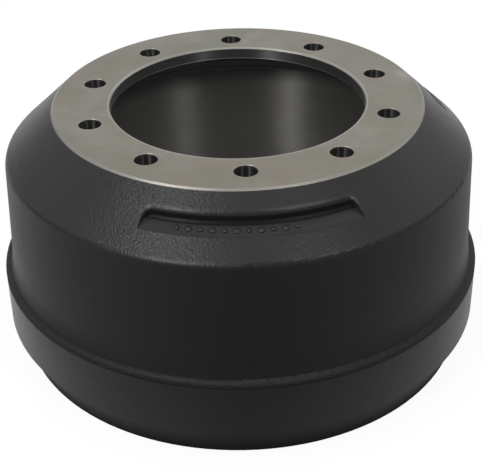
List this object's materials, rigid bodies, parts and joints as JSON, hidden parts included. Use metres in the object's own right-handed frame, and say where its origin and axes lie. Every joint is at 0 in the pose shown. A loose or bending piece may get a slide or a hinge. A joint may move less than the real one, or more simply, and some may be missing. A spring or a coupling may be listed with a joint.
{
  "type": "brake drum",
  "caption": "Deep cast brake drum with a flat bolting face, large pilot bore, ring of bolt holes, sloping cone, plain barrel and a thick band near its open end.",
  "frame": {"origin": "on the drum's axis at the open end, where it stands on the floor", "axes": "+Z along the axle line, from the open end towards the face that bolts to the hub; one bolt hole lies on -Y"},
  "size_m": [0.4679, 0.468, 0.242],
  "materials": {
    "cast_iron": "sand cast and painted black, with bare turned working faces"
  },
  "bodies": {
    "root": {"brake_drum": "cast_iron"}
  },
  "joints": []
}
